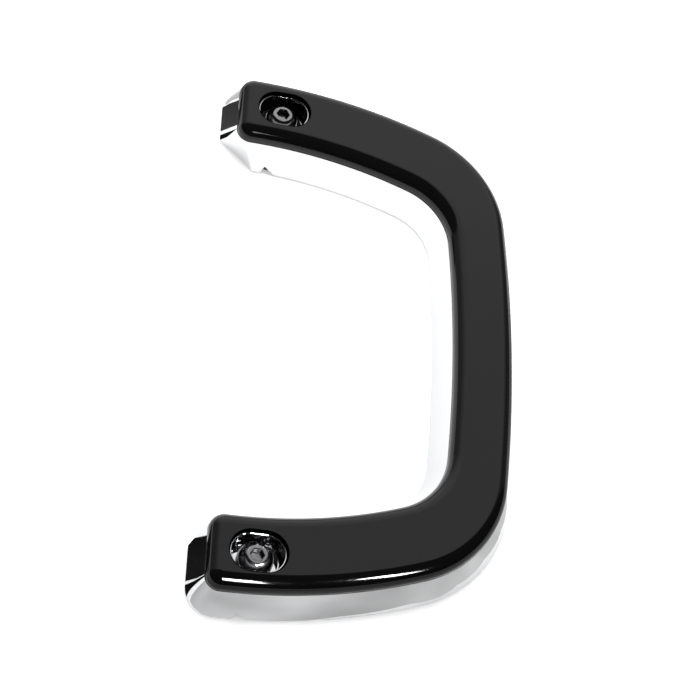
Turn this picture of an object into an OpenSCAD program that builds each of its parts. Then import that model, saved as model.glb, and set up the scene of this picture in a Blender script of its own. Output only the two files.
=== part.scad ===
// Assist handle with a two-tone body: a gloss black cover on a chrome-plated tray,
// stiffened by a steel strap and bolted down through a recess in each leg end.
// The origin is midway between the bolts, in the mounting plane z = 0. +Z points out of
// the cover, the grip lies on the +X side, and the handle is symmetric about the XZ plane.
// Units are millimetres.
// Plan sizes are taken at the parting line between tray and cover.

/* [Plan outline] */
// Width of the grip
grip_w = 26; // [24:0.5:28]
// Width of each leg at its foot
leg_w = 32; // [31:0.5:34]
// Distance from the middle plane to the outer edge of a foot
foot_outer_y = 123; // [120:0.5:128]
// Distance from the grip's middle line to the end of a leg
leg_reach = 113; // [110:0.5:118]
// Radius of the outer corner between grip and leg
outer_corner_r = 52; // [48:1:56]
// Radius of the inner corner between grip and leg
inner_corner_r = 30; // [27:1:33]
// Radius of the corners at a leg's end
end_corner_r = 6.5; // [6.5:0.5:9]

/* [Section] */
// Thickness of the rubber under each foot
gasket_t = 2; // [1.5:0.25:2.5]
// Gap between the tray's lower edge and the mounting plane
tray_gap = 1; // [0.5:0.25:1]
// Height of the chrome side wall
tray_h = 13.5; // [13:0.5:15]
// How far the side wall leans out from top to bottom
flare = 5.5; // [4:0.5:6.5]
// Thickness of the seal in the parting line
seal_t = 0.5; // [0.4:0.1:0.8]
// Height of the cover above the seal
cover_h = 6.5; // [6:0.5:8]
// Radius of the cover's rounded shoulders
shoulder_r = 6; // [4:0.5:6]
// Thickness of the tray's side wall
wall = 2.6; // [2.2:0.1:3]
// Thickness of the tray's floor
floor_t = 4; // [3.8:0.2:5]
// Thickness of the steel strap
strap_t = 4; // [3:0.5:4.5]

/* [Bolts] */
// Distance from a leg's end to its bolt
bolt_inset = 20; // [19:0.5:23]
// Length of a bolt under its head
bolt_len = 35; // [30:5:45]
// Width of the oval recess
recess_w = 15.4; // [15.4:0.2:16]
// Length of the oval recess
recess_l = 21.4; // [20:0.2:22]

/* [Hidden] */
$fn = 240;
eps = 0.5;
// Radial depth of the band an edge profile fills; outer_side and leg_end set it
$band = 0;

// Heights of the stack, from the mounting plane up
z_tray = tray_gap;
z_floor = z_tray + floor_t;
z_strap = z_floor + strap_t;
z_part = z_tray + tray_h;
z_cover = z_part + seal_t;
z_top = z_cover + cover_h;
slope = flare / tray_h;

// Plan outline. Each side is three tangent arcs: grip, corner and leg.
grip_half_angle = 5;
inner_half_angle = 4.5;
leg_angle = 70;
x_end = -bolt_inset;
grip_x = leg_reach - bolt_inset;
x_tangent = x_end + end_corner_r;
foot_inner_y = foot_outer_y - leg_w;
foot_mid_y = foot_outer_y - leg_w / 2;
blend = (1 - sin(leg_angle)) / cos(leg_angle);

// Grip radius that makes the three arcs end at the foot's edge, parallel to X
function grip_r(x0, a, r, y) =
    (y - r * (sin(leg_angle) - sin(a)) - (1 - sin(leg_angle)) * r
        - blend * (x0 - r * cos(a) - x_tangent)) / (sin(a) - (1 - cos(a)) * blend);
function corner_x(x0, a, r, big_r) = x0 - big_r + (big_r - r) * cos(a);
function corner_y(a, r, big_r) = (big_r - r) * sin(a);
function leg_r(x0, a, r, big_r) = r + (corner_x(x0, a, r, big_r) - x_tangent) / cos(leg_angle);

outer_x = grip_x + grip_w / 2;
inner_x = grip_x - grip_w / 2;
outer_grip_r = grip_r(outer_x, grip_half_angle, outer_corner_r, foot_outer_y);
outer_leg_r = leg_r(outer_x, grip_half_angle, outer_corner_r, outer_grip_r);

// Radial depth of the bands that make up the outer side and the inner void
outer_band = leg_w + flare + 4;
void_band = 24;
sector_reach = 150;

// Allowances and details
cover_lip = 2.4;
lip_gap = 0.2;
lip_t = 1.6;
cover_skin = 2.8;
strap_inset = 5;
seal_inset = 0.3;
boss_d = 9;
rib_t = 1.6;
rib_w = 18;
pad_w = 8;
pad_t = 2;
gasket_len = 38;
facet_dir = 48;
facet_off = end_corner_r * (1 - cos(facet_dir)) + (leg_w / 2 - end_corner_r) * sin(facet_dir) + 0.1;
notch_x = 17;
notch_w = 7;
notch_h = 3.2;

// Fasteners
bolt_d = 8;
shank_d = 7.6;
bush_bore = 8.2;
bush_d = 12;
clear_bore = 8.6;
bolt_clear = 0.05;
bolt_head_d = 14;
bolt_head_h = 4.4;
bolt_key = 5;
bolt_key_depth = 2.6;
washer_t = 1.6;
washer_d = 15;
spring_washer_t = 2;
spring_washer_d = 14.4;
cup_wall = 0.8;
cup_floor = 1;
z_cup = z_strap + cup_floor;
z_head = z_cup + washer_t + spring_washer_t + bolt_clear;
screw_d = 4;
screw_head_d = 7;
screw_head_h = 2.2;
screw_sink = 2.6;
insert_d = 5.6;
insert_h = 6;
insert_z = z_strap + 1;
csk_d = 7.6;
csk_h = 2;
strap_screw_len = 6.5;

// Stations of the cover screws and strap screws, as points in plan
leg_mid_r = outer_leg_r - leg_w / 2;
leg_centre_y = foot_outer_y - outer_leg_r;
corner_mid_r = outer_corner_r - 14;
corner_cx = corner_x(outer_x, grip_half_angle, outer_corner_r, outer_grip_r);
corner_cy = corner_y(grip_half_angle, outer_corner_r, outer_grip_r);
grip_mid_r = outer_grip_r - grip_w / 2;
function leg_point(a) = [x_tangent + leg_mid_r * cos(a), leg_centre_y + leg_mid_r * sin(a)];
function corner_point(a) = [corner_cx + corner_mid_r * cos(a), corner_cy + corner_mid_r * sin(a)];
function grip_point(y) = [grip_x + grip_mid_r * (cos(asin(y / grip_mid_r)) - 1), y];
function flip(p) = [p[0], -p[1]];
half_screws = [leg_point(82), corner_point(62), grip_point(31)];
half_strap_screws = [leg_point(76), corner_point(24)];
screw_points = concat(half_screws, [for (p = half_screws) flip(p)]);
strap_screw_points = concat([grip_point(0)], half_strap_screws,
    [for (p = half_strap_screws) flip(p)]);
rib_angles = [79, 73];
rib_y = 14;
half_pads = [grip_point(rib_y), leg_point(rib_angles[0])];
pad_points = concat(half_pads, [for (p = half_pads) flip(p)]);

module both_legs() {
    children();
    mirror([0, 1, 0]) children();
}

// Move in plan by whole millimetres, then thousandths, then the rest, which keeps
// neighbouring arcs tangent to the last digit
module place(x, y = 0) {
    whole = [round(x), round(y)];
    fine = [round((x - whole[0]) * 1000) / 1000, round((y - whole[1]) * 1000) / 1000];
    translate(whole) translate(fine) translate([x - whole[0] - fine[0], y - whole[1] - fine[1]])
        children();
}

// Full turn of an edge profile of radius r about a vertical axis, cut to a sector given in plan.
// Neighbouring sectors share their corner points, so their faces meet exactly.
module sector(x, y, r, plan) {
    intersection() {
        place(x, y) rotate_extrude() place(r) children();
        translate([0, 0, -eps * 2]) linear_extrude(z_top + 4 * eps) polygon(plan);
    }
}

// One side of the bar: a grip arc, two corner arcs and two leg arcs, all tangent
module side(x0, a, r, y_foot) {
    big_r = grip_r(x0, a, r, y_foot);
    foot_r = leg_r(x0, a, r, big_r);
    c = [corner_x(x0, a, r, big_r), corner_y(a, r, big_r)];
    p = c + sector_reach * [cos(a), sin(a)];
    q = c + sector_reach * [cos(leg_angle), sin(leg_angle)];
    sector(x0 - big_r, 0, big_r, [c, p, flip(p), flip(c)]) children();
    both_legs() {
        sector(c[0], c[1], r, [c, p, q]) children();
        sector(x_tangent, y_foot - foot_r, foot_r, [c, q, [x_tangent, q[1]], [x_tangent, c[1]]])
            children();
    }
}

// Outer side: the profile's u = 0 runs along the bar's outer edge
module outer_side() {
    let ($band = outer_band)
        side(outer_x, grip_half_angle, outer_corner_r, foot_outer_y) children();
}

// Space inside the U, bounded by a profile turned to face inwards
module inner_side() {
    side(inner_x, inner_half_angle, inner_corner_r, foot_inner_y) children();
}

module turn(x, y, a, b) {
    translate([x, y, 0]) rotate_extrude(angle = b - a, start = a) children();
}

// Rounded end of a leg, beyond the point where its edges become parallel to X
module leg_end() {
    both_legs() {
        turn(x_tangent, foot_outer_y - end_corner_r, 90, 180)
            translate([end_corner_r, 0]) let ($band = end_corner_r) children();
        turn(x_tangent, foot_inner_y + end_corner_r, 180, 270)
            translate([end_corner_r, 0]) let ($band = end_corner_r) children();
        translate([x_tangent, foot_outer_y - end_corner_r, 0])
            rotate([90, 0, 0])
                linear_extrude(leg_w - 2 * end_corner_r)
                    mirror([1, 0])
                        translate([end_corner_r, 0]) let ($band = end_corner_r + 1) children();
    }
}

// Straight or leaning edge: how far the solid reaches past the parting outline
module edge(z1, z2, u1, u2) {
    polygon([[-$band, z1], [u1, z1], [u2, z2], [-$band, z2]]);
}

// The void beside such an edge, facing the inside of the U
module void_edge(z1, z2, u1, u2) {
    polygon([[-void_band, z1 - eps], [-u1, z1 - eps], [-u1, z1],
        [-u2, z2], [-u2, z2 + eps], [-void_band, z2 + eps]]);
}

// Solid bar between two heights, with its edges offset by u1 below and u2 above
module bar(z1, z2, u1, u2) {
    difference() {
        outer_side() edge(z1, z2, u1, u2);
        inner_side() void_edge(z1, z2, u1, u2);
    }
    leg_end() edge(z1, z2, u1, u2);
}

// Points of the cover's rounded shoulder, from its side up to its top
shoulder = [for (a = [0:7.5:90])
    [shoulder_r * (cos(a) - 1), z_top - shoulder_r * (1 - sin(a))]];

module cover_edge() {
    polygon(concat([[-$band, z_cover], [0, z_cover]], shoulder, [[-$band, z_top]]));
}

module cover_void_edge() {
    polygon(concat([[-void_band, z_cover - eps], [0, z_cover - eps]],
        [for (p = shoulder) [-p[0], p[1]]],
        [[shoulder_r, z_top + eps], [-void_band, z_top + eps]]));
}

module cover_form() {
    difference() {
        outer_side() cover_edge();
        inner_side() cover_void_edge();
    }
    leg_end() cover_edge();
}

// Oval prism round a bolt, long way along the leg
module oval(l, w, z1, z2) {
    translate([0, foot_mid_y, z1]) {
        for (s = [-1, 1]) translate([s * (l - w) / 2, 0, 0]) cylinder(d = w, h = z2 - z1);
        translate([-(l - w) / 2, -w / 2, 0]) cube([l - w, w, z2 - z1]);
    }
}

module at_bolt() {
    translate([0, foot_mid_y, 0]) children();
}

module at_points(points) {
    for (p = points) translate([p[0], p[1], 0]) children();
}

module ring(d_out, d_in, z1, z2) {
    translate([0, 0, z1]) difference() {
        cylinder(d = d_out, h = z2 - z1);
        translate([0, 0, -eps]) cylinder(d = d_in, h = z2 - z1 + 2 * eps);
    }
}

// Space past an upright plane across a leg's inner end corner
module past_facet(off) {
    both_legs()
        translate([x_end, foot_mid_y, 0])
            rotate([0, 0, 180 + facet_dir])
                translate([off, -30, -eps]) cube([20, 60, z_part + 2 * eps]);
}

// Weep notch in the lower edge of a side wall, one on each side of a foot
module notches() {
    both_legs()
        for (s = [-1, 1])
            translate([x_end + notch_x, foot_mid_y + s * (leg_w / 2 + flare), z_tray])
                rotate([90, 0, 0])
                    linear_extrude(2 * wall, center = true)
                        polygon([[-notch_w / 2, -eps], [notch_w / 2, -eps], [-notch_w / 4, notch_h]]);
}

// Cross rib under the cover, down to the pads on the strap
module rib(p, a) {
    z1 = z_strap + pad_t;
    translate([p[0], p[1], z1])
        rotate([0, 0, a])
            translate([-rib_w / 2, -rib_t / 2, 0])
                cube([rib_w, rib_t, z_top - cover_skin - z1 + eps]);
}

module top_cover() {
    color("#181818") {
        difference() {
            union() {
                cover_form();
                bar(z_part - cover_lip, z_cover + eps, -wall - lip_gap, -wall - lip_gap);
            }
            bar(z_part - cover_lip - eps, z_top - cover_skin,
                -wall - lip_gap - lip_t, -wall - lip_gap - lip_t);
            both_legs() oval(recess_l + 2 * cup_wall, recess_w + 2 * cup_wall, z_cover, z_top + eps);
        }
        difference() {
            at_points(screw_points)
                translate([0, 0, insert_z - 0.5])
                    cylinder(d = boss_d, h = z_top - cover_skin + eps - insert_z + 0.5);
            at_points(screw_points)
                translate([0, 0, insert_z - 1]) cylinder(d = insert_d, h = insert_h + 1);
        }
        both_legs() {
            for (a = rib_angles) rib(leg_point(a), a);
            rib(grip_point(rib_y), 0);
        }
    }
}

module base_tray() {
    color("#d8dade")
        difference() {
            bar(z_tray, z_part, flare, 0);
            past_facet(facet_off);
            notches();
            difference() {
                bar(z_floor, z_part + eps, flare - floor_t * slope - wall, -wall - eps * slope);
                past_facet(facet_off - wall);
            }
            foot_pad(z_tray - eps, gasket_t);
            both_legs() at_bolt() cylinder(d = bush_d, h = z_floor + eps);
            at_points(screw_points) {
                cylinder(d = screw_head_d + 1, h = z_tray + screw_sink);
                cylinder(d = screw_d + 0.5, h = z_floor + eps);
            }
            at_points(strap_screw_points)
                translate([0, 0, z_strap - strap_screw_len]) cylinder(d = screw_d, h = z_floor);
        }
}

module core_strap() {
    color("#8d9094")
        difference() {
            bar(z_floor, z_strap, -strap_inset, -strap_inset);
            both_legs() at_bolt()
                translate([0, 0, z_floor - eps]) cylinder(d = clear_bore, h = strap_t + 2 * eps);
            at_points(screw_points)
                translate([0, 0, z_floor - eps]) cylinder(d = screw_d + 0.5, h = strap_t + 2 * eps);
            at_points(strap_screw_points) {
                translate([0, 0, z_floor - eps]) cylinder(d = screw_d, h = strap_t + 2 * eps);
                translate([0, 0, z_strap - csk_h]) cylinder(d1 = screw_d, d2 = csk_d, h = csk_h);
            }
        }
}

module parting_seal() {
    color("#101010")
        difference() {
            bar(z_part, z_cover, -seal_inset, -seal_inset);
            bar(z_part - eps, z_cover + eps, -wall, -wall);
        }
}

// Oval liner of the recess, pressed into the cover and standing on the strap
module recess_cup() {
    color("#c9ccd1")
        difference() {
            oval(recess_l + 2 * cup_wall, recess_w + 2 * cup_wall, z_strap, z_top - 0.2);
            oval(recess_l, recess_w, z_cup, z_top);
            at_bolt() translate([0, 0, z_strap - eps]) cylinder(d = clear_bore, h = cup_floor + 2 * eps);
        }
}

// Button-head bolt with a waisted shank above the mounting plane
module bolt() {
    crown_r = bolt_head_d / 2 * 1.1;
    color("#b4b7bb") at_bolt() {
        difference() {
            intersection() {
                translate([0, 0, z_head]) cylinder(d = bolt_head_d, h = bolt_head_h);
                translate([0, 0, z_head + bolt_head_h - crown_r]) sphere(r = crown_r);
            }
            translate([0, 0, z_head + bolt_head_h - bolt_key_depth])
                cylinder(d = bolt_key / cos(30), h = bolt_key_depth + eps, $fn = 6);
        }
        cylinder(d = shank_d, h = z_head + eps);
        translate([0, 0, z_head - bolt_len + 1]) cylinder(d = bolt_d, h = bolt_len - 1 - z_head);
        translate([0, 0, z_head - bolt_len]) cylinder(d1 = bolt_d - 2, d2 = bolt_d, h = 1);
    }
}

module washer() {
    color("#a8abaf") at_bolt() ring(washer_d, clear_bore, z_cup, z_cup + washer_t);
}

// Split spring washer
module spring_washer() {
    z1 = z_cup + washer_t;
    color("#86898d") at_bolt()
        difference() {
            ring(spring_washer_d, clear_bore, z1, z1 + spring_washer_t);
            rotate([0, 0, 35]) translate([3, -0.6, z1 - eps]) cube([6, 1.2, spring_washer_t + 2 * eps]);
        }
}

// Sleeve that carries the bolt's clamping load past the rubber and the floor
module foot_bush() {
    color("#9b9ea2") at_bolt() ring(bush_d, bush_bore, 0.2, z_floor);
}

// Rubber under a foot: the tray's base outline, inset, up to a straight inner end
module foot_pad(z1, z2) {
    intersection() {
        difference() {
            bar(z1, z2, flare - wall, flare - wall);
            past_facet(facet_off - wall);
        }
        both_legs()
            translate([x_end - flare, foot_mid_y - 30, z1 - eps])
                cube([gasket_len, 60, z2 - z1 + 2 * eps]);
    }
}

module foot_gasket() {
    color("#202020")
        difference() {
            intersection() {
                foot_pad(0, gasket_t);
                translate([x_end - 20, 0, -1]) cube([80, 200, 10]);
            }
            at_bolt() translate([0, 0, -eps]) cylinder(d = bush_d, h = gasket_t + 2 * eps);
        }
}

module cover_screws() {
    z1 = z_tray + screw_sink - screw_head_h;
    color("#9b9ea2") at_points(screw_points)
        difference() {
            union() {
                translate([0, 0, z1]) cylinder(d = screw_head_d, h = screw_head_h);
                translate([0, 0, z1 + screw_head_h - eps])
                    cylinder(d = screw_d, h = insert_z + insert_h - 1 - z1 - screw_head_h + eps);
            }
            translate([0, 0, z1 - eps]) cylinder(d = 3, h = 1.6 + eps, $fn = 6);
        }
}

module cover_inserts() {
    color("#b08d3c") at_points(screw_points)
        ring(insert_d, screw_d + 0.1, insert_z, insert_z + insert_h);
}

module strap_screws() {
    color("#9b9ea2") at_points(strap_screw_points)
        difference() {
            union() {
                translate([0, 0, z_strap - csk_h]) cylinder(d1 = screw_d, d2 = csk_d, h = csk_h);
                translate([0, 0, z_strap - strap_screw_len])
                    cylinder(d = screw_d, h = strap_screw_len - csk_h);
            }
            translate([0, 0, z_strap - 1.4]) cylinder(d = 2.9, h = 1.4 + eps, $fn = 6);
        }
}

// Foam pads that stop the cover rattling on the strap
module strap_pads() {
    color("#2a2a2a") at_points(pad_points)
        translate([-pad_w / 2, -pad_w / 2, z_strap]) cube([pad_w, pad_w, pad_t]);
}

top_cover();
base_tray();
core_strap();
parting_seal();
recess_cup();  // upper_recess_cup
mirror([0, 1, 0]) recess_cup();  // lower_recess_cup
bolt();  // upper_bolt
mirror([0, 1, 0]) bolt();  // lower_bolt
washer();  // upper_washer
mirror([0, 1, 0]) washer();  // lower_washer
spring_washer();  // upper_spring_washer
mirror([0, 1, 0]) spring_washer();  // lower_spring_washer
foot_bush();  // upper_foot_bush
mirror([0, 1, 0]) foot_bush();  // lower_foot_bush
foot_gasket();  // upper_foot_gasket
mirror([0, 1, 0]) foot_gasket();  // lower_foot_gasket
cover_screws();
cover_inserts();
strap_screws();
strap_pads();
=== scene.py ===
import bpy
import math
from mathutils import Matrix, Vector
from mathutils.geometry import tessellate_polygon


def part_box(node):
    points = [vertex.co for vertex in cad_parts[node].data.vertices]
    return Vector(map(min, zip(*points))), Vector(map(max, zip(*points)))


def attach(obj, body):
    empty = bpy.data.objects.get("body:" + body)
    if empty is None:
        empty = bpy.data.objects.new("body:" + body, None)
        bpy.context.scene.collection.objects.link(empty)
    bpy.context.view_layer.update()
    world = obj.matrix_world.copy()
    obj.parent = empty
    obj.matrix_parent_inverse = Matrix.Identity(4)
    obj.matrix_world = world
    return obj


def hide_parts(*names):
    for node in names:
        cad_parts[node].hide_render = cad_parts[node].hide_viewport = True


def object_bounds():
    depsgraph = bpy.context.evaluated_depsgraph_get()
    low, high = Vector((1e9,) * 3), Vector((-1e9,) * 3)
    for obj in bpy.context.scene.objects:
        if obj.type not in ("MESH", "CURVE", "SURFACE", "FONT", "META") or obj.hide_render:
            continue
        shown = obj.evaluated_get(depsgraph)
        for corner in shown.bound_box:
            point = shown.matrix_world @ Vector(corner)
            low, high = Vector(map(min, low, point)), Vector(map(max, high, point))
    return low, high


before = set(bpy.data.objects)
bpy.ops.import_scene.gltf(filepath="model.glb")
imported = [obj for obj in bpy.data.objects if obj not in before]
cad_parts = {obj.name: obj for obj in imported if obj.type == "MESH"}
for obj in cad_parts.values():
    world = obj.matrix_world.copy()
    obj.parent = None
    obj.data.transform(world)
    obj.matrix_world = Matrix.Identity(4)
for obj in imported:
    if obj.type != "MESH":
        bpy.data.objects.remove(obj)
CAD_LO, CAD_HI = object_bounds()

MM = 0.001
rad = math.radians

# Driving sizes, in millimetres, as in the CAD model
GRIP_W, LEG_W = 26.0, 32.0
FOOT_OUTER_Y, LEG_REACH = 123.0, 113.0
OUTER_CORNER_R, INNER_CORNER_R, END_R = 52.0, 30.0, 6.5
FLARE, SHOULDER_R, WALL = 5.5, 6.0, 2.6
BOLT_INSET = 20.0
RECESS_W, RECESS_L, CUP_WALL = 15.4, 21.4, 0.8
OUTER_HALF, INNER_HALF, LEG_ANGLE = 5.0, 4.5, 70.0
FACET_DIR = 48.0
NOTCH_X, NOTCH_W, NOTCH_H = 17.0, 7.0, 3.2
SCREW_D, SCREW_HEAD_D, SCREW_SINK = 4.0, 7.0, 2.6
# Play round a screw head, and how far in from the outer corner's edge a screw stands
SCREW_PLAY, SCREW_FROM_CORNER = 0.5, 14
# How far the notch's outline starts below the tray, as in the CAD model
EPS = 0.5
# Facets lie nearer to a leg's end than this
FOOT_LIMIT_X = 20.0
# Added to a facet's distance from the foot's middle, as in the CAD model
FACET_EASE = 0.1
# Level faces of the seam run in from the outline by this much
SEAM_IN = 1.6
# Bolt: plain shank, hexagon socket and rolled thread
SHANK_R, KEY, KEY_DEPTH = 3.8, 5.0, 2.6
THREAD_R, THREAD_PITCH, THREAD_DEPTH = 3.98, 1.25, 0.62
THREAD_TOP, THREAD_FADE, TIP_R = 0.4, 1.5, 3.0
# Gaps left round a bush, under a cup and under a bolt head
PLAY, HEAD_PLAY = 0.05, 0.07

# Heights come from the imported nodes
Z_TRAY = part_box("base_tray")[0].z / MM
Z_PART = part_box("base_tray")[1].z / MM
Z_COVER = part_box("parting_seal")[1].z / MM
Z_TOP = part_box("top_cover")[1].z / MM
Z_CUP_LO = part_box("upper_recess_cup")[0].z / MM
Z_CUP_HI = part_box("upper_recess_cup")[1].z / MM
Z_HEAD_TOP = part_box("upper_bolt")[1].z / MM
Z_BOLT_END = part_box("upper_bolt")[0].z / MM
Z_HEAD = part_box("upper_spring_washer")[1].z / MM + HEAD_PLAY
BUSH_BORE_R = (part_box("upper_foot_bush")[1].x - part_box("upper_foot_bush")[0].x) / 2 / MM + PLAY
# Corner radius of the hexagon socket, and radius of the level ring round it
SOCKET_R = KEY / math.sqrt(3)
FLAT_R = SOCKET_R + 0.75

# Plan outline
X_END = -BOLT_INSET
X_TAN = X_END + END_R
GRIP_X = LEG_REACH - BOLT_INSET
OUTER_X, INNER_X = GRIP_X + GRIP_W / 2, GRIP_X - GRIP_W / 2
FOOT_INNER_Y = FOOT_OUTER_Y - LEG_W
FOOT_MID_Y = FOOT_OUTER_Y - LEG_W / 2
TRAY_H = Z_PART - Z_TRAY
FACET_OFF = END_R * (1 - math.cos(rad(FACET_DIR))) \
    + (LEG_W / 2 - END_R) * math.sin(rad(FACET_DIR)) + FACET_EASE


def side(x0, half, r, y_foot):
    """Grip radius, corner centre and leg radius of one side of the bar."""
    a, b = rad(half), rad(LEG_ANGLE)
    blend = (1 - math.sin(b)) / math.cos(b)
    big = (y_foot - r * (math.sin(b) - math.sin(a)) - (1 - math.sin(b)) * r
           - blend * (x0 - r * math.cos(a) - X_TAN)) / (math.sin(a) - (1 - math.cos(a)) * blend)
    cx = x0 - big + (big - r) * math.cos(a)
    cy = (big - r) * math.sin(a)
    leg = r + (cx - X_TAN) / math.cos(b)
    return big, cx, cy, leg


OUT_BIG, OUT_CX, OUT_CY, OUT_LEG = side(OUTER_X, OUTER_HALF, OUTER_CORNER_R, FOOT_OUTER_Y)
IN_BIG, IN_CX, IN_CY, IN_LEG = side(INNER_X, INNER_HALF, INNER_CORNER_R, FOOT_INNER_Y)
OUT_LEG_Y, IN_LEG_Y = FOOT_OUTER_Y - OUT_LEG, FOOT_INNER_Y - IN_LEG


class Arc:
    """Arc of the parting outline; sign -1 bounds the inside of the U."""

    def __init__(self, x, y, r, a, b, n, sign=1):
        self.x, self.y, self.r, self.a, self.b, self.n, self.sign = x, y, r, a, b, n, sign

    def at(self, t):
        a = rad(self.a + (self.b - self.a) * t)
        c, s = math.cos(a), math.sin(a)
        return (self.x + self.r * c, self.y + self.r * s, self.sign * c, self.sign * s)


class Line:
    """Straight end of a leg."""

    def __init__(self, x, y0, y1, n):
        self.x, self.y0, self.y1, self.n = x, y0, y1, n

    def at(self, t):
        return (self.x, self.y0 + (self.y1 - self.y0) * t, -1.0, 0.0)


SEGMENTS = [
    Arc(X_TAN, -OUT_LEG_Y, OUT_LEG, -90, -LEG_ANGLE, 40),
    Arc(OUT_CX, -OUT_CY, OUTER_CORNER_R, -LEG_ANGLE, -OUTER_HALF, 40),
    Arc(OUTER_X - OUT_BIG, 0, OUT_BIG, -OUTER_HALF, OUTER_HALF, 28),
    Arc(OUT_CX, OUT_CY, OUTER_CORNER_R, OUTER_HALF, LEG_ANGLE, 40),
    Arc(X_TAN, OUT_LEG_Y, OUT_LEG, LEG_ANGLE, 90, 40),
    Arc(X_TAN, FOOT_OUTER_Y - END_R, END_R, 90, 180, 22),
    Line(X_END, FOOT_OUTER_Y - END_R, FOOT_INNER_Y + END_R, 10),
    Arc(X_TAN, FOOT_INNER_Y + END_R, END_R, 180, 270, 22),
    Arc(X_TAN, IN_LEG_Y, IN_LEG, 90, LEG_ANGLE, 40, -1),
    Arc(IN_CX, IN_CY, INNER_CORNER_R, LEG_ANGLE, INNER_HALF, 36, -1),
    Arc(INNER_X - IN_BIG, 0, IN_BIG, INNER_HALF, -INNER_HALF, 28, -1),
    Arc(IN_CX, -IN_CY, INNER_CORNER_R, -INNER_HALF, -LEG_ANGLE, 36, -1),
    Arc(X_TAN, -IN_LEG_Y, IN_LEG, -LEG_ANGLE, -90, 40, -1),
    Arc(X_TAN, -FOOT_INNER_Y - END_R, END_R, 90, 180, 22),
    Line(X_END, -FOOT_INNER_Y - END_R, -FOOT_OUTER_Y + END_R, 10),
    Arc(X_TAN, -FOOT_OUTER_Y + END_R, END_R, 180, 270, 22),
]


def facet_reach(p, u):
    """How far the outline, offset by u, reaches past the facet of its leg."""
    x, y, nx, ny = p
    if x > FOOT_LIMIT_X:
        return -1.0
    side_y = 1 if y > 0 else -1
    fx, fy = -math.cos(rad(FACET_DIR)), -side_y * math.sin(rad(FACET_DIR))
    px, py = x + nx * u - X_END, y + ny * u - side_y * FOOT_MID_Y
    return px * fx + py * fy - FACET_OFF


def notch_height(x):
    """Height of the weep notch above the tray's lower edge at plan position x."""
    d = x - (X_END + NOTCH_X)
    left = (d + NOTCH_W / 2) * (NOTCH_H + EPS) / (NOTCH_W / 4) - EPS
    right = (NOTCH_W / 2 - d) * (NOTCH_H + EPS) / (NOTCH_W * 0.75) - EPS
    return max(0.0, min(left, right))


NOTCH_APEX = X_END + NOTCH_X - NOTCH_W / 4
NOTCH_LO = X_END + NOTCH_X - NOTCH_W / 2 + EPS * (NOTCH_W / 4) / (NOTCH_H + EPS)
NOTCH_HI = X_END + NOTCH_X + NOTCH_W / 2 - EPS * (NOTCH_W * 0.75) / (NOTCH_H + EPS)


def solve(f, a, b):
    """Where f changes sign between a and b."""
    for _ in range(50):
        m = (a + b) / 2
        if (f(a) > 0) == (f(m) > 0):
            a = m
        else:
            b = m
    return (a + b) / 2


# Share of a step within which a plain point gives way to an exact one
CLOSE = 0.15


def crossings(seg):
    """Positions along a segment where a facet or a notch starts, peaks or ends."""
    tests = [lambda t: facet_reach(seg.at(t), FLARE)]
    tests += [lambda t, x=x: seg.at(t)[0] - x for x in (NOTCH_LO, NOTCH_APEX, NOTCH_HI)]
    marks = []
    for test in tests:
        for i in range(seg.n):
            a, b = i / seg.n, (i + 1) / seg.n
            if (test(a) > 0) != (test(b) > 0):
                marks.append(solve(test, a, b))
    return marks


def stations():
    """Points and outward normals round the outline, with the tray's details on exact points."""
    out = []
    for seg in SEGMENTS:
        marks = crossings(seg)
        steps = [i / seg.n for i in range(seg.n)]
        steps = [t for t in steps if t == 0 or all(abs(t - m) > CLOSE / seg.n for m in marks)]
        out += [seg.at(t) for t in sorted(set(steps + marks))]
    return out


STATIONS = stations()


def leg_point(a):
    """Point on a leg's centre line, at an angle about its outer arc's centre."""
    r = OUT_LEG - LEG_W / 2
    return X_TAN + r * math.cos(rad(a)), OUT_LEG_Y + r * math.sin(rad(a))


def corner_point(a):
    """Point inside the outer corner."""
    r = OUTER_CORNER_R - SCREW_FROM_CORNER
    return OUT_CX + r * math.cos(rad(a)), OUT_CY + r * math.sin(rad(a))


def grip_point(y):
    """Point on the grip's centre line."""
    r = OUT_BIG - GRIP_W / 2
    return GRIP_X + r * (math.cos(math.asin(y / r)) - 1), y


# Cover screws, seen in the tray's underside
HALF_SCREWS = [leg_point(82), corner_point(62), grip_point(31)]
SCREWS = HALF_SCREWS + [(x, -y) for x, y in HALF_SCREWS]

# Triangles smaller than this, in square metres, are left out
TINY_AREA = 1e-14


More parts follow.
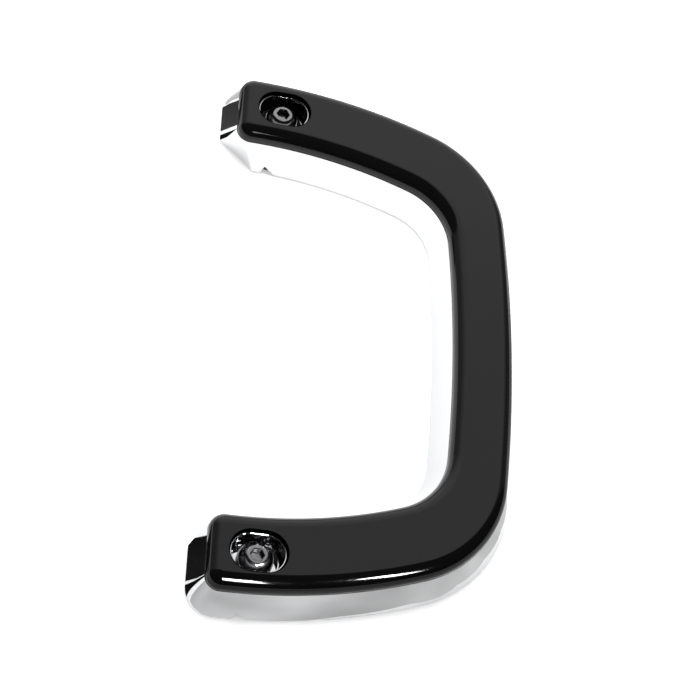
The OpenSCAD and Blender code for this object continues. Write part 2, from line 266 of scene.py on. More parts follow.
class Shell:
    """Collects points with their own normals, then makes one smooth-shaded mesh."""

    def __init__(self):
        self.co, self.no, self.faces = [], [], []
        # Numbers of the faces that take the second material
        self.second = []

    def point(self, x, y, z, n):
        """Add a point in millimetres with its normal, and return its number."""
        n = Vector(n)
        self.co.append((x * MM, y * MM, z * MM))
        self.no.append(n.normalized() if n.length > 0 else Vector((0, 0, 1)))
        return len(self.co) - 1

    def grid(self, rows, closed=True, flip=False):
        """Rows of point numbers, each the same length, joined into quads."""
        for r0, r1 in zip(rows, rows[1:]):
            n = len(r0)
            for i in range(n if closed else n - 1):
                j = (i + 1) % n
                f = [r0[i], r0[j], r1[j], r1[i]]
                self.faces.append(f[::-1] if flip else f)

    def sweep(self, profile, flip=False):
        """A profile of (u, z, nu, nz), swept round the whole outline."""
        rows = []
        for u, z, nu, nz in profile:
            rows.append([self.point(x + nx * u, y + ny * u, z, (nx * nu, ny * nu, nz))
                         for x, y, nx, ny in STATIONS])
        self.grid(rows, True, flip)

    def flat(self, loops, z, up=True):
        """A level face bounded by the first loop of plan points, with the others as holes."""
        n = (0, 0, 1 if up else -1)
        ids = [self.point(x, y, z, n) for loop in loops for x, y in loop]
        tris = tessellate_polygon([[Vector((x, y, 0)) for x, y in loop] for loop in loops])
        for t in tris:
            a, b, c = (self.co[ids[i]] for i in t)
            area = (b[0] - a[0]) * (c[1] - a[1]) - (b[1] - a[1]) * (c[0] - a[0])
            if abs(area) < TINY_AREA:
                continue
            f = [ids[i] for i in t]
            self.faces.append(f if (area > 0) == up else f[::-1])

    def lathe(self, cx, cy, profile, n=64):
        """A profile of (r, z, nr, nz) turned about an upright axis."""
        rows = []
        for r, z, nr, nz in profile:
            row = []
            for i in range(n):
                a = 2 * math.pi * i / n
                c, s = math.cos(a), math.sin(a)
                row.append(self.point(cx + r * c, cy + r * s, z, (c * nr, s * nr, nz)))
            rows.append(row)
        self.grid(rows, True)

    def make(self, name, material, body="handle", second=None):
        """The mesh as an object that rides on a body."""
        mesh = bpy.data.meshes.new(name)
        mesh.from_pydata(self.co, [], self.faces)
        mesh.polygons.foreach_set("use_smooth", [True] * len(mesh.polygons))
        mesh.materials.append(material)
        if second:
            mesh.materials.append(second)
            for i in self.second:
                mesh.polygons[i].material_index = 1
        mesh.normals_split_custom_set_from_vertices(self.no)
        mesh.update()
        obj = bpy.data.objects.new(name, mesh)
        bpy.context.scene.collection.objects.link(obj)
        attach(obj, body)
        return obj


def arc_profile(cu, cz, r, a0, a1, n):
    """Points of a round edge in a profile, from angle a0 to a1."""
    out = []
    for i in range(n + 1):
        a = rad(a0 + (a1 - a0) * i / n)
        out.append((cu + r * math.cos(a), cz + r * math.sin(a), math.cos(a), math.sin(a)))
    return out


def circle(cx, cy, r, n):
    """Plan points of a circle."""
    turn_by = [2 * math.pi * i / n for i in range(n)]
    return [(cx + r * math.cos(a), cy + r * math.sin(a)) for a in turn_by]


def oval(sign, grow, n=28):
    """Plan points of the recess outline, grown outwards, and their normals."""
    half, r = (RECESS_L - RECESS_W) / 2, RECESS_W / 2 + grow
    pts = []
    for s, a0 in ((1, -90), (-1, 90)):
        for i in range(n + 1):
            a = rad(a0 + 180 * i / n)
            pts.append((s * half + r * math.cos(a), sign * FOOT_MID_Y + r * math.sin(a),
                        math.cos(a), math.sin(a)))
    return pts


# ---------------------------------------------------------------- materials

def material(name, color, metallic=0.0, rough=0.3, ior=1.5):
    """A new material, its node tree and its Principled shader."""
    m = bpy.data.materials.new(name)
    m.use_nodes = True
    nt = m.node_tree
    b = nt.nodes["Principled BSDF"]
    b.inputs["Base Color"].default_value = (*color, 1)
    b.inputs["Metallic"].default_value = metallic
    b.inputs["Roughness"].default_value = rough
    b.inputs["IOR"].default_value = ior
    return m, nt, b


def noise(nt, scale, detail=3.0, stretch=(1, 1, 1)):
    """Noise in object coordinates; a low factor in stretch draws it out along that axis."""
    tc = nt.nodes.new("ShaderNodeTexCoord")
    mp = nt.nodes.new("ShaderNodeMapping")
    nt.links.new(tc.outputs["Object"], mp.inputs["Vector"])
    mp.inputs["Scale"].default_value = stretch
    tex = nt.nodes.new("ShaderNodeTexNoise")
    tex.inputs["Detail"].default_value = detail
    tex.inputs["Scale"].default_value = scale
    nt.links.new(mp.outputs["Vector"], tex.inputs["Vector"])
    return tex.outputs["Fac"]


def ramp(nt, src, lo, hi, from_lo=0.3, from_hi=0.7):
    """A value carried from one range to another."""
    r = nt.nodes.new("ShaderNodeMapRange")
    r.inputs["From Min"].default_value = from_lo
    r.inputs["From Max"].default_value = from_hi
    r.inputs["To Min"].default_value = lo
    r.inputs["To Max"].default_value = hi
    nt.links.new(src, r.inputs["Value"])
    return r.outputs["Result"]


def mix_color(nt, fac, a, b):
    """Blend of two colours."""
    m = nt.nodes.new("ShaderNodeMix")
    m.data_type = "RGBA"
    nt.links.new(fac, m.inputs["Factor"])
    m.inputs["A"].default_value = (*a, 1)
    m.inputs["B"].default_value = (*b, 1)
    return m.outputs["Result"]


def bump(nt, b, height, distance, strength):
    """Fine relief on a shader, from a height."""
    n = nt.nodes.new("ShaderNodeBump")
    n.inputs["Distance"].default_value = distance
    n.inputs["Strength"].default_value = strength
    nt.links.new(height, n.inputs["Height"])
    nt.links.new(n.outputs["Normal"], b.inputs["Normal"])


def math_node(nt, op, a, b):
    """Two numbers or sockets joined by a math node."""
    n = nt.nodes.new("ShaderNodeMath")
    n.operation = op
    for i, v in enumerate((a, b)):
        if isinstance(v, (int, float)):
            n.inputs[i].default_value = v
        else:
            nt.links.new(v, n.inputs[i])
    return n.outputs[0]


def mix_shader(nt, fac, first, second):
    """Shader that turns from the first to the second with a factor."""
    n = nt.nodes.new("ShaderNodeMixShader")
    nt.links.new(fac, n.inputs["Fac"])
    nt.links.new(first, n.inputs[1])
    nt.links.new(second, n.inputs[2])
    return n.outputs["Shader"]


def gloss_black():
    """Gloss black finish with slight haze, wipe marks and a little waviness."""
    m, nt, b = material("gloss_black", (0.0025, 0.0025, 0.0027), 0, 0.07, 1.33)
    haze = ramp(nt, noise(nt, 60, 4), 0.055, 0.085)
    swirl = ramp(nt, noise(nt, 1400, 2, (1, 0.06, 1)), 0.0, 0.16, 0.66, 0.8)
    nt.links.new(math_node(nt, "MAXIMUM", haze, swirl), b.inputs["Roughness"])
    tone = mix_color(nt, noise(nt, 25, 3), (0.0020, 0.0020, 0.0022), (0.0032, 0.0032, 0.0034))
    nt.links.new(tone, b.inputs["Base Color"])
    bump(nt, b, noise(nt, 420, 2), 0.000012, 0.35)
    return m


def chrome():
    """Chrome plate with slight haze, wipe marks and a little waviness."""
    m, nt, b = material("chrome_plate", (0.60, 0.603, 0.61), 1, 0.05)
    haze = ramp(nt, noise(nt, 45, 5), 0.03, 0.075)
    wipe = ramp(nt, noise(nt, 900, 2, (0.05, 1, 1)), 0.0, 0.14, 0.68, 0.85)
    nt.links.new(math_node(nt, "MAXIMUM", haze, wipe), b.inputs["Roughness"])
    tone = mix_color(nt, noise(nt, 30, 3), (0.56, 0.563, 0.57), (0.63, 0.633, 0.64))
    nt.links.new(tone, b.inputs["Base Color"])
    bump(nt, b, noise(nt, 70, 1), 0.00005, 0.30)
    return m


def dark_nickel():
    """Dark plating of the bolts and washers, clouded and slightly grainy."""
    m, nt, b = material("dark_nickel", (0.20, 0.20, 0.205), 1, 0.16)
    nt.links.new(ramp(nt, noise(nt, 500, 4), 0.10, 0.26), b.inputs["Roughness"])
    tone = mix_color(nt, noise(nt, 160, 4), (0.15, 0.15, 0.155), (0.27, 0.27, 0.275))
    nt.links.new(tone, b.inputs["Base Color"])
    bump(nt, b, noise(nt, 1500, 2), 0.00001, 0.4)
    return m


def steel(name, color, rough, grain, stretch):
    """Plain metal with a grain."""
    m, nt, b = material(name, color, 1, rough)
    nt.links.new(ramp(nt, noise(nt, grain, 4, stretch), rough - 0.08, rough + 0.14),
                 b.inputs["Roughness"])
    dark = tuple(c * 0.78 for c in color)
    nt.links.new(mix_color(nt, noise(nt, 220, 4), dark, color), b.inputs["Base Color"])
    bump(nt, b, noise(nt, grain, 3, stretch), 0.00002, 0.4)
    return m


def rubber(name, color, grain, rough=0.62, depth=0.00004):
    """Dull rubber or foam with a grain."""
    m, nt, b = material(name, color, 0, rough)
    nt.links.new(ramp(nt, noise(nt, grain, 4), rough - 0.1, rough + 0.15), b.inputs["Roughness"])
    light = tuple(c * 1.7 for c in color)
    nt.links.new(mix_color(nt, noise(nt, grain / 9, 4), color, light), b.inputs["Base Color"])
    bump(nt, b, noise(nt, grain, 3), depth, 0.6)
    return m


BLACK = gloss_black()
CHROME = chrome()
NICKEL = dark_nickel()
ZINC = steel("zinc_steel", (0.50, 0.51, 0.53), 0.30, 900, (1, 1, 1))
ROLLED = steel("rolled_steel", (0.42, 0.43, 0.45), 0.38, 700, (0.05, 1, 1))
TURNED = steel("turned_steel", (0.55, 0.56, 0.58), 0.26, 1600, (0.05, 0.05, 1))
BRASS = steel("brass", (0.72, 0.53, 0.24), 0.26, 1100, (1, 1, 0.1))
# Dark seal rubber: the parting seal's own colour, and also painted shade inside the weep notches
# and along the tray's rounded top edge
SEAL_AND_SHADE = rubber("seal_rubber_and_painted_shade", (0.010, 0.010, 0.010), 1500)
GASKET = rubber("foot_rubber", (0.022, 0.022, 0.023), 1100, 0.68)
FOAM = rubber("pad_foam", (0.040, 0.040, 0.042), 2400, 0.85, 0.0002)


# ---------------------------------------------------------------- top cover

def build_cover():
    """Gloss black shell with rounded shoulders and a lip round each recess."""
    s = Shell()
    edge_r, lip_r, lip_steps, bore_depth = 0.15, 0.55, 8, 3.0
    profile = [(-SEAM_IN, Z_COVER, 0, -1), (-edge_r, Z_COVER, 0, -1)]
    profile += arc_profile(-edge_r, Z_COVER + edge_r, edge_r, -90, 0, 5)
    profile += arc_profile(-SHOULDER_R, Z_TOP - SHOULDER_R, SHOULDER_R, 0, 90, 30)
    s.sweep(profile)
    rim = [(x - nx * SHOULDER_R, y - ny * SHOULDER_R) for x, y, nx, ny in STATIONS]
    holes = []
    for sign in (1, -1):
        holes.append([(x, y) for x, y, _, _ in oval(sign, CUP_WALL + lip_r)])
        rows = []
        for i in range(lip_steps + 1):
            a = rad(90 * i / lip_steps)
            c, d = math.cos(a), math.sin(a)
            z = Z_TOP - lip_r * (1 - c)
            rows.append([s.point(x, y, z, (-nx * d, -ny * d, c))
                         for x, y, nx, ny in oval(sign, CUP_WALL + lip_r * (1 - d))])
        rows.append([s.point(x, y, Z_TOP - bore_depth, (-nx, -ny, 0))
                     for x, y, nx, ny in oval(sign, CUP_WALL)])
        s.grid(rows, True, True)
    s.flat([rim] + holes, Z_TOP)
    obj = s.make("cover_shell", BLACK)
    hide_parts("top_cover")


# ---------------------------------------------------------------- tray

# Reach and height too small to count, and the least sideways normal of a leg's side wall
TINY_REACH, TINY_NOTCH, SIDEWAYS = 1e-6, 1e-3, 0.8


def wall_low(p):
    """Offset and height at which a station's side wall ends: base edge, facet or notch."""
    x, y, nx, ny = p
    if facet_reach(p, FLARE) > TINY_REACH:
        u = solve(lambda v: facet_reach(p, v), 0.0, FLARE)
        return u, Z_PART - u * TRAY_H / FLARE, "facet"
    if abs(ny) > SIDEWAYS and abs(abs(y) - FOOT_MID_Y) < LEG_W:
        h = 0.0
        for _ in range(6):
            h = notch_height(x + nx * FLARE * (1 - h / TRAY_H))
        if h > TINY_NOTCH:
            return FLARE * (1 - h / TRAY_H), Z_TRAY + h, "notch"
    return FLARE, Z_TRAY, "base"


def runs(kinds, kind):
    """Ranges of neighbouring stations of one kind, with one base station at each end."""
    n, out, i = len(kinds), [], 0
    while i < n:
        if kinds[i] == kind:
            j = i
            while kinds[(j + 1) % n] == kind:
                j += 1
            out.append([(k % n) for k in range(i - 1, j + 2)])
            i = j + 1
        i += 1
    return out


def tray_facet(s, pts):
    """Upright flat across an inner corner, from the side wall's edge down to the base."""
    sign = 1 if pts[0][1] > 0 else -1
    n = (-math.cos(rad(FACET_DIR)), -sign * math.sin(rad(FACET_DIR)), 0)
    first, last = pts[0], pts[-1]
    base = []
    top = [s.point(*p, n) for p in pts]
    for i in range(len(pts)):
        t = i / (len(pts) - 1)
        base.append(s.point(first[0] + (last[0] - first[0]) * t,
                            first[1] + (last[1] - first[1]) * t, Z_TRAY, n))
    s.grid([top, base], False, True)


def tray_notch(s, pts):
    """Weep notch whose inside takes the second material, dark seal rubber, as painted shade;
    returns the two base points that it adds.
    """
    sign = 1 if pts[0][1] > 0 else -1
    way = 1 if abs(pts[0][1]) > FOOT_MID_Y else -1
    y_in = sign * (FOOT_MID_Y + way * (LEG_W / 2 + FLARE - WALL))
    for a, b in zip(pts, pts[1:]):
        d = Vector((b[0] - a[0], 0, b[2] - a[2]))
        n = Vector((d.z, 0, -d.x))
        if n.z > 0:
            n = -n
        s.second.append(len(s.faces))
        s.faces.append([s.point(*a, n), s.point(*b, n), s.point(b[0], y_in, b[2], n),
                        s.point(a[0], y_in, a[2], n)])
    s.second.append(len(s.faces))
    s.faces.append([s.point(p[0], y_in, p[2], (0, sign * way, 0)) for p in pts])
    return [(pts[0][0], y_in), (pts[-1][0], y_in)]


def build_tray():
    """Chrome tray: a leaning wall, facets, notches and an underside with its bores."""
    s = Shell()
    lean = math.atan2(FLARE, TRAY_H)
    wn = (math.cos(lean), math.sin(lean))
    edge_r, wall_rows = 0.12, 5
    cu = -(edge_r - wn[1] * edge_r) / wn[0]
    top = [(-SEAM_IN, Z_PART, 0, 1), (cu, Z_PART, 0, 1)]
    top += arc_profile(cu, Z_PART - edge_r, edge_r, 90, math.degrees(lean), 6)
    s.sweep(top, True)
    # The tray's rounded top edge takes the second material, dark seal rubber, as painted shade
    # along the seam in place of the chrome's highlight there
    s.second = list(range(len(s.faces)))
    u0, z0 = top[-1][0], top[-1][1]
    lows = [wall_low(p) for p in STATIONS]
    kinds = [low[2] for low in lows]
    rows = []
    for k in range(wall_rows + 1):
        row = []
        for (x, y, nx, ny), (u1, z1, _) in zip(STATIONS, lows):
            u, z = u0 + (u1 - u0) * k / wall_rows, z0 + (z1 - z0) * k / wall_rows
            row.append(s.point(x + nx * u, y + ny * u, z, (nx * wn[0], ny * wn[0], wn[1])))
        rows.append(row)
    s.grid(rows, True, True)

    foot = [(x + nx * u, y + ny * u, z) for (x, y, nx, ny), (u, z, _) in zip(STATIONS, lows)]
    for run in runs(kinds, "facet"):
        tray_facet(s, [foot[i] for i in run])
    notch_base = {run[0]: tray_notch(s, [foot[i] for i in run]) for run in runs(kinds, "notch")}
    outline = []
    for i, kind in enumerate(kinds):
        if kind == "base":
            outline.append(foot[i][:2])
            outline += notch_base.get(i, [])

    z_sink = Z_TRAY + SCREW_SINK
    sink_r = SCREW_HEAD_D / 2 + SCREW_PLAY
    holes = []
    for x, y in SCREWS:
        holes.append(circle(x, y, sink_r, 40))
        s.lathe(x, y, [(sink_r, z_sink, -1, 0), (sink_r, Z_TRAY, -1, 0)], 40)
        s.lathe(x, y, [(SCREW_D / 2, z_sink, 0, -1), (sink_r, z_sink, 0, -1)], 40)
    for y in (FOOT_MID_Y, -FOOT_MID_Y):
        holes.append(circle(0, y, BUSH_BORE_R, 48))
        s.lathe(0, y, [(BUSH_BORE_R, z_sink, -1, 0), (BUSH_BORE_R, Z_TRAY, -1, 0)], 48)
    s.flat([outline] + holes, Z_TRAY, up=False)
    obj = s.make("tray_shell", CHROME, second=SEAL_AND_SHADE)
    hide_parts("base_tray")


# ---------------------------------------------------------------- recess cups

def build_cup(sign, name):
    """Oval liner with a rounded rim, a rounded foot and a floor with the bolt's hole."""
    s = Shell()
    rim_drop, floor_t, rim_r, foot_r, hole_r = 1.7, 1.0, 0.35, 1.2, 4.3
    z_rim, z_floor = Z_CUP_HI - rim_drop - rim_r, Z_CUP_LO + floor_t
    z_foot, half = z_floor + foot_r, CUP_WALL / 2
    profile = [(CUP_WALL, Z_CUP_LO + PLAY, 1, 0), (CUP_WALL, z_rim, 1, 0)]
    for a in range(15, 180, 15):
        c, d = math.cos(rad(a)), math.sin(rad(a))
        profile.append((half + half * c, z_rim + rim_r * d, c, d))
    profile += [(0, z_rim, -1, 0), (0, z_foot, -1, 0)]
    for a in range(15, 91, 15):
        c, d = math.cos(rad(a)), math.sin(rad(a))
        profile.append((foot_r * c - foot_r, z_foot - foot_r * d, -c, d))
    rows = [[s.point(x, y, z, (nx * nu, ny * nu, nz)) for x, y, nx, ny in oval(sign, grow)]
            for grow, z, nu, nz in profile]
    s.grid(rows, True)
    rim = [(x, y) for x, y, _, _ in oval(sign, -foot_r)]
    s.flat([rim, circle(0, sign * FOOT_MID_Y, hole_r, 48)], z_floor)
    obj = s.make(name + "_cup_liner", CHROME)
    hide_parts(name + "_recess_cup")


# ---------------------------------------------------------------- bolts

HEAD_SIDES, SHANK_SIDES, ROWS_PER_PITCH = 72, 48, 12


def hexagon(r, a):
    """Plan point at angle a of a hexagon with corners at radius r."""
    k = math.cos(math.pi / 6) / math.cos((a % (math.pi / 3)) - math.pi / 6)
    return r * k * math.cos(a), r * k * math.sin(a)


def upward(a):
    """Normal of a level face, the same at every angle."""
    return (0, 0, 1)


def chamfer_normal(a):
    """Normal of the socket's chamfer, half inward and half up."""
    return (-math.cos(a) * 0.7, -math.sin(a) * 0.7, 0.7)


def flat_normal(a):
    """Inward normal of the socket's flat at angle a."""
    m = (math.floor(a / (math.pi / 3)) + 0.5) * math.pi / 3
    return (-math.cos(m), -math.sin(m), 0)


def bolt_ring(s, cy, r, z, six, normal):
    """Ring of points about the bolt's axis, six-sided or round."""
    row = []
    for i in range(HEAD_SIDES):
        a = 2 * math.pi * i / HEAD_SIDES
        x, y = hexagon(r, a) if six else (r * math.cos(a), r * math.sin(a))
        row.append(s.point(x, cy + y, z, normal(a)))
    return row


def bolt_head(s, cy, head_r):
    """Domed button head, from its bearing face up to the level ring."""
    edge_r, steps = 0.45, 16
    profile = [(SHANK_R, Z_HEAD, 0, -1), (head_r - edge_r, Z_HEAD, 0, -1)]
    profile += arc_profile(head_r - edge_r, Z_HEAD + edge_r, edge_r, -90, 20, 6)
    r0, z0 = profile[-1][:2]
    rise = Z_HEAD_TOP - z0
    for i in range(1, steps + 1):
        t = i / steps
        quarter = t * math.pi / 2
        slope = rise * math.cos(quarter) * math.pi / 2 / (r0 - FLAT_R)
        profile.append((r0 + (FLAT_R - r0) * t, z0 + rise * math.sin(quarter), slope, 1))
    s.lathe(0, cy, profile, HEAD_SIDES)


def bolt_socket(s, cy):
    """Level ring, chamfer, flats and dished floor of the hexagon socket."""
    chamfer, dish, centre_r = 0.25, 0.4, 0.02
    mouth = (SOCKET_R + chamfer, Z_HEAD_TOP, True)
    flat_hi = (SOCKET_R, Z_HEAD_TOP - chamfer, True)
    flat_lo = (SOCKET_R, Z_HEAD_TOP - KEY_DEPTH, True)
    floor = (centre_r, Z_HEAD_TOP - KEY_DEPTH - dish, False)
    faces = [((FLAT_R, Z_HEAD_TOP, False), mouth, upward), (mouth, flat_hi, chamfer_normal),
             (flat_hi, flat_lo, flat_normal), (flat_lo, floor, upward)]
    for outer, inner, normal in faces:
        s.grid([bolt_ring(s, cy, *outer, normal), bolt_ring(s, cy, *inner, normal)], True)


def thread_point(z, turned):
    """Radius of the thread at height z, a share of a turn round, and its normal's upward part."""
    phase = (z / THREAD_PITCH - turned) % 1.0
    crest = min(1.0, max(0.0, abs(phase * 2 - 1) * 1.35 - 0.16))
    fade = min(1.0, max(0.0, -z / THREAD_FADE))
    r = THREAD_R - THREAD_DEPTH * fade * (1 - crest)
    cone_r = TIP_R + (z - Z_BOLT_END)
    if r >= cone_r:
        return cone_r, -0.7
    if crest in (0.0, 1.0):
        return r, 0.0
    return r, (0.9 if phase < 0.5 else -0.9) * fade


def bolt_shank(s, cy):
    """Plain shank, the thread below it with its tapered tip, and the end face."""
    s.lathe(0, cy, [(SHANK_R, Z_HEAD, 1, 0), (SHANK_R, THREAD_TOP, 1, 0)], SHANK_SIDES)
    s.lathe(0, cy, [(SHANK_R, THREAD_TOP, 0, 1), (THREAD_R, THREAD_TOP, 0, 1)], SHANK_SIDES)
    length = THREAD_TOP - Z_BOLT_END
    count = int(length / THREAD_PITCH * ROWS_PER_PITCH)
    rows = []
    for k in range(count + 1):
        z = THREAD_TOP - length * k / count
        row = []
        for i in range(SHANK_SIDES):
            a = 2 * math.pi * i / SHANK_SIDES
            c, d = math.cos(a), math.sin(a)
            r, nz = thread_point(z, i / SHANK_SIDES)
            row.append(s.point(r * c, cy + r * d, z, (c, d, nz)))
        rows.append(row)
    s.grid(rows, True, True)
    end = [s.point(x, y, Z_BOLT_END, (0, 0, -1)) for x, y in circle(0, cy, TIP_R, SHANK_SIDES)]
    s.faces.append(end[::-1])


def build_bolt(sign, name):
    """Button-head bolt with a hexagon socket and a rolled thread."""
    s = Shell()
    cy = sign * FOOT_MID_Y
    head_r = (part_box(name + "_bolt")[1].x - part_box(name + "_bolt")[0].x) / 2 / MM
    bolt_head(s, cy, head_r)
    bolt_socket(s, cy)
    bolt_shank(s, cy)
    obj = s.make(name + "_button_bolt", NICKEL, name + "_bolt")
    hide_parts(name + "_bolt")


build_cover()
build_tray()
for foot_sign, foot_name in ((1, "upper"), (-1, "lower")):
    build_cup(foot_sign, foot_name)
    build_bolt(foot_sign, foot_name)

# Looks of the nodes that are shown as they come from the CAD model
LOOKS = {
    "core_strap": ROLLED, "parting_seal": SEAL_AND_SHADE, "cover_screws": ZINC, "strap_screws": ZINC,
    "cover_inserts": BRASS, "strap_pads": FOAM,
}
for foot_name in ("upper", "lower"):
    LOOKS[foot_name + "_washer"] = NICKEL
    LOOKS[foot_name + "_spring_washer"] = NICKEL
    LOOKS[foot_name + "_foot_bush"] = TURNED
    LOOKS[foot_name + "_foot_gasket"] = GASKET
for node, look in LOOKS.items():
    for mat_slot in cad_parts[node].material_slots:
        mat_slot.material = look

# ---------------------------------------------------------------- stage

# Floor and card heights and the floor's half width, in metres
FLOOR_HALF, FLOOR_Z, CARD_Z = 4.0, -0.0002, 0.0003
# How far a band reaches from the leg's end, and the gap before it, in millimetres
BAND_REACH, BAND_GAP = 70.0, 0.5
# Plan directions in which the upper and lower end walls mirror the camera's line of sight
UPPER_WAY, LOWER_WAY = (-0.63, 0.60), (-0.723, 0.392)


def sheet(name, points, mat):
    """Flat stage sheet with its corners at the given points, in metres."""
    mesh = bpy.data.meshes.new(name)
    mesh.from_pydata(points, [], [tuple(range(len(points)))])
    mesh.materials.append(mat)
    obj = bpy.data.objects.new(name, mesh)
    bpy.context.scene.collection.objects.link(obj)
    return obj


def floor_material():
    """White floor that can't be seen from below."""
    m, nt, b = material("studio_floor", (0.90, 0.90, 0.90), 0, 0.8)
    b.inputs["Specular IOR Level"].default_value = 0.0
    b.inputs["Emission Color"].default_value = (1, 1, 1, 1)
    b.inputs["Emission Strength"].default_value = 0.30
    clear = nt.nodes.new("ShaderNodeBsdfTransparent")
    geo = nt.nodes.new("ShaderNodeNewGeometry")
    mixed = mix_shader(nt, geo.outputs["Backfacing"], b.outputs["BSDF"], clear.outputs["BSDF"])
    nt.links.new(mixed, nt.nodes["Material Output"].inputs["Surface"])
    return m


def area(name, location, target, size, power, glossy=True, diffuse=True, spread=180):
    """Rectangular lamp aimed at a target and hidden from the camera."""
    data = bpy.data.lights.new(name, "AREA")
    data.shape = "RECTANGLE"
    data.size, data.size_y = size
    data.energy = power
    data.spread = rad(spread)
    obj = bpy.data.objects.new(name, data)
    obj.location = location
    way = Vector(target) - Vector(location)
    obj.rotation_euler = way.to_track_quat("-Z", "Y").to_euler()
    obj.visible_camera = False
    obj.visible_glossy = glossy
    obj.visible_diffuse = diffuse
    bpy.context.scene.collection.objects.link(obj)


def card(name, points, tones):
    """Card on the floor, seen only in reflections; points are millimetres in plan."""
    mat, nt, shader = material(name, (0.0, 0.0, 0.0), 0, 0.9)
    shader.inputs["Specular IOR Level"].default_value = 0.0
    shader.inputs["Emission Color"].default_value = (1, 1, 1, 1)
    cloud = ramp(nt, noise(nt, 16, 2, (1, 1.6, 1)), tones[0], tones[1], 0.35, 0.68)
    nt.links.new(cloud, shader.inputs["Emission Strength"])
    obj = sheet(name, [(x * MM, y * MM, CARD_Z) for x, y in points], mat)
    obj.visible_camera = obj.visible_diffuse = obj.visible_shadow = False


def band(name, y0, y1, way, tones):
    """Card that a foot's end wall mirrors as an upright band between y0 and y1."""
    x = CAD_LO.x / MM - BAND_GAP
    far = BAND_REACH / abs(way[0])
    run_x, run_y = way[0] * far, way[1] * far
    card(name, [(x, y0), (x, y1), (x + run_x, y1 + run_y), (x + run_x, y0 + run_y)], tones)


sheet("studio_floor", [(-FLOOR_HALF, -FLOOR_HALF, FLOOR_Z), (FLOOR_HALF, -FLOOR_HALF, FLOOR_Z),
                       (FLOOR_HALF, FLOOR_HALF, FLOOR_Z), (-FLOOR_HALF, FLOOR_HALF, FLOOR_Z)],
      floor_material())
band("flag_upper", 104.6, 119.0, UPPER_WAY, (0.05, 0.11))
band("flag_upper_line", 99.6, 102.6, UPPER_WAY, (0.005, 0.015))
band("flag_lower", -114.6, -96.5, LOWER_WAY, (0.01, 0.03))
band("flag_lower_line", -121.5, -116.0, LOWER_WAY, (0.005, 0.015))
# Grey beside the handle, for the low part of its side wall
card("grey_front", [(-60, -118), (-26.2, -124), (-21, -129), (-14, -129.2), (5, -129.3),
                    (40, -126.5), (70, -119.5), (92, -107), (104, -92), (109.5, -75), (113, -40),
                    (114, 0), (114, 60), (300, 60), (300, -300), (-60, -300)], (0.62, 0.98))
card("grey_corner", [(-27, 121), (-97, 188), (-40, 260), (80, 260), (80, 135), (0, 129.5),
                     (-14, 129.3), (-22, 127)], (0.75, 1.0))

area("key_soft", (0.02, 0.24, 0.45), (0.03, 0.05, 0), (0.30, 0.30), 2.6, glossy=False)
area("lamp_front", (0.098, -0.54, 0.431), (-0.01, -0.19, 0.0), (0.080, 0.21), 0.30,
     diffuse=False, spread=27)
area("lamp_right", (0.351, -0.433, 0.41), (0.05, -0.18, 0.0), (0.050, 0.21), 0.30,
     diffuse=False, spread=27)

# ---------------------------------------------------------------- world

# Strengths: seen by the camera, for diffuse light, and in gloss the back wall and the room
CAMERA_LIGHT, DIFFUSE_LIGHT, WALL_LIGHT, ROOM_LIGHT = 1.0, 0.80, 1.55, 0.015


def smooth_step(nt, src, lo, hi):
    """Smooth rise from 0 at lo to 1 at hi."""
    n = nt.nodes.new("ShaderNodeMapRange")
    n.interpolation_type = "SMOOTHSTEP"
    n.inputs["From Min"].default_value = lo
    n.inputs["From Max"].default_value = hi
    nt.links.new(src, n.inputs["Value"])
    return n.outputs["Result"]


def fall_off(nt, src, lo, hi, drop):
    """1 below lo, sinking smoothly by drop up to hi."""
    fall = math_node(nt, "MULTIPLY", smooth_step(nt, src, lo, hi), drop)
    return math_node(nt, "SUBTRACT", 1.0, fall)


def background(nt, strength):
    """White background of a strength, given as a number or a socket."""
    n = nt.nodes.new("ShaderNodeBackground")
    n.inputs["Color"].default_value = (1, 1, 1, 1)
    if isinstance(strength, (int, float)):
        n.inputs["Strength"].default_value = strength
    else:
        nt.links.new(strength, n.inputs["Strength"])
    return n.outputs["Background"]


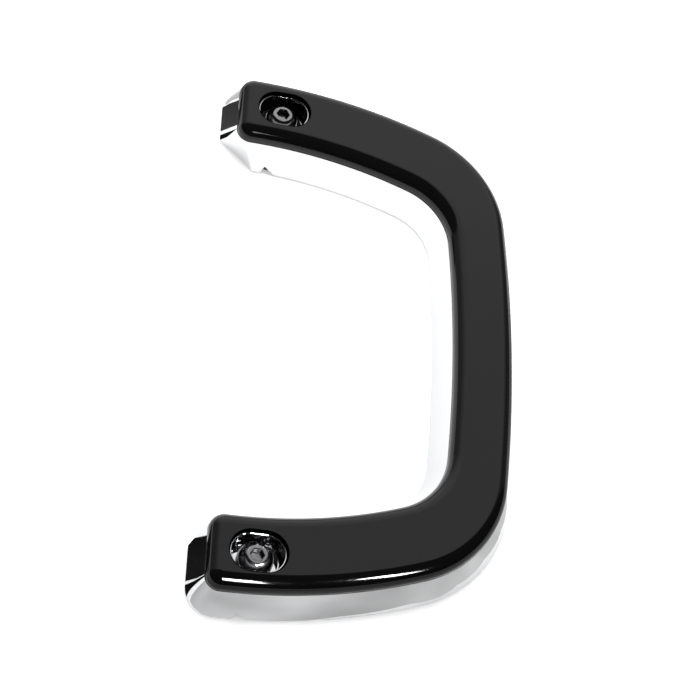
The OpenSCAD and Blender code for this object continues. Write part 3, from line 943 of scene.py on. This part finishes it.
def gloss_light(nt):
    """Strength by direction of a lit back wall in a dark room, dimmer towards both sides."""
    coord = nt.nodes.new("ShaderNodeTexCoord")
    split = nt.nodes.new("ShaderNodeSeparateXYZ")
    nt.links.new(coord.outputs["Generated"], split.inputs["Vector"])
    dx, dy = split.outputs["X"], split.outputs["Y"]
    wall = smooth_step(nt, dy, 0.30, 0.39)
    right = fall_off(nt, dx, 0.40, 0.75, 0.85)
    left = fall_off(nt, math_node(nt, "MULTIPLY", dx, -1.0), 0.30, 0.85, 0.7)
    rise = math_node(nt, "MULTIPLY", smooth_step(nt, dy, 0.49, 0.60), 0.18)
    slope = math_node(nt, "ADD", rise, 0.82)
    gloss = math_node(nt, "MULTIPLY", math_node(nt, "MULTIPLY", wall, right),
                      math_node(nt, "MULTIPLY", left, WALL_LIGHT))
    return math_node(nt, "ADD", math_node(nt, "MULTIPLY", gloss, slope), ROOM_LIGHT)


def build_world():
    """Pale to the camera, even for diffuse light, and a lit back wall for gloss."""
    world = bpy.data.worlds.new("studio")
    bpy.context.scene.world = world
    world.use_nodes = True
    nt = world.node_tree
    nt.nodes.clear()
    path = nt.nodes.new("ShaderNodeLightPath")
    pale = mix_shader(nt, path.outputs["Is Camera Ray"], background(nt, DIFFUSE_LIGHT),
                      background(nt, CAMERA_LIGHT))
    whole = mix_shader(nt, path.outputs["Is Glossy Ray"], pale, background(nt, gloss_light(nt)))
    out = nt.nodes.new("ShaderNodeOutputWorld")
    nt.links.new(whole, out.inputs["Surface"])


build_world()
bpy.context.scene.view_settings.view_transform = "Standard"

# ---------------------------------------------------------------- camera

# Fitted to the photo's outlines: the turn is an axis times its angle in radians, and the eye is
# measured from the middle of the grip along the camera's own axes, in millimetres
CAM_LENS = 96.15
CAM_TURN = (-0.5134, 0.2195, -0.0887)
CAM_EYE = (-56.6978, 1.5649, 804.7939)


def build_camera():
    """Camera at the photo's point of view."""
    data = bpy.data.cameras.new("camera")
    cam = bpy.data.objects.new("camera", data)
    bpy.context.scene.collection.objects.link(cam)
    bpy.context.scene.camera = cam
    data.sensor_width = 36.0
    data.lens = CAM_LENS
    data.clip_start = 0.01
    data.clip_end = 50
    turn = Vector(CAM_TURN)
    to_world = Matrix.Rotation(turn.length, 3, turn.normalized()).transposed()
    eye = to_world @ (Vector(CAM_EYE) * MM) + Vector((GRIP_X, 0, Z_PART)) * MM
    cam.matrix_world = Matrix.Translation(eye) @ to_world.to_4x4()


build_camera()
